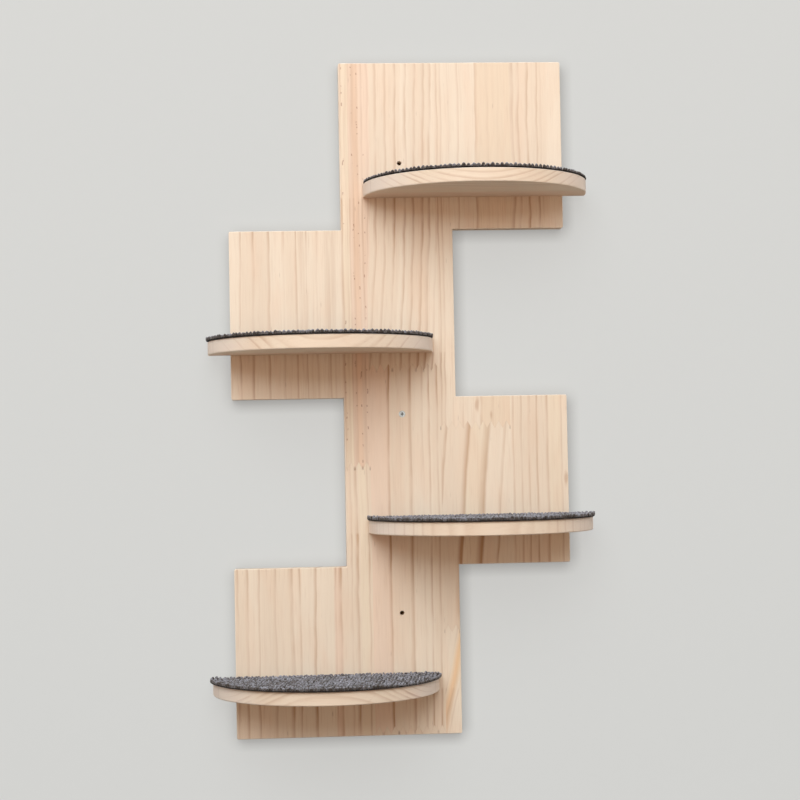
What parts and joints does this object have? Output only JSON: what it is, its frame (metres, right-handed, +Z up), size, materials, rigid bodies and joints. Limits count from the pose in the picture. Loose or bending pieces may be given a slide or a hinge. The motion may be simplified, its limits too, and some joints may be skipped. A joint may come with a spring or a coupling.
{
  "type": "wall mounted cat tree",
  "caption": "Zigzag edge-glued pine back board for a wall, with half-round shelves on alternate sides, each topped with a dark grey loop-pile carpet pad.",
  "frame": {"origin": "on the board's back face, the one that lies on the wall, on the spine's centreline at half the board's height", "axes": "+X to the right as seen from the room, +Y out of the board's back into the wall, +Z up"},
  "size_m": [0.518, 0.204, 0.9],
  "materials": {
    "board_pine": "sanded bare pine with a light clear coat, grain upright",
    "shelf_pine": "sanded bare pine with a light clear coat, grain along the wall",
    "carpet": "charcoal loop-pile carpet",
    "screw_steel": "zinc-plated"
  },
  "bodies": {
    "root": {"board_left_1_stave_a": "board_pine", "board_left_1_stave_b": "board_pine", "board_left_2_stave_a": "board_pine", "board_left_2_stave_b": "board_pine", "board_right_1_stave_a": "board_pine", "board_right_1_stave_b": "board_pine", "board_right_1_stave_c": "board_pine", "board_right_2_stave_a": "board_pine", "board_right_2_stave_b": "board_pine", "board_spine_stave_a": "board_pine", "board_spine_stave_b": "board_pine", "board_spine_stave_c": "board_pine", "carpet_1": "carpet", "carpet_2": "carpet", "carpet_3": "carpet", "carpet_4": "carpet", "shelf_1_back_stave": "shelf_pine", "shelf_1_front_stave": "shelf_pine", "shelf_2_back_stave": "shelf_pine", "shelf_2_front_stave": "shelf_pine", "shelf_3_back_stave": "shelf_pine", "shelf_3_front_stave": "shelf_pine", "shelf_4_back_stave": "shelf_pine", "shelf_4_front_stave": "shelf_pine", "shelf_screws_1": "screw_steel", "shelf_screws_2": "screw_steel", "shelf_screws_3": "screw_steel", "shelf_screws_4": "screw_steel", "wall_screw": "screw_steel"}
  },
  "joints": []
}
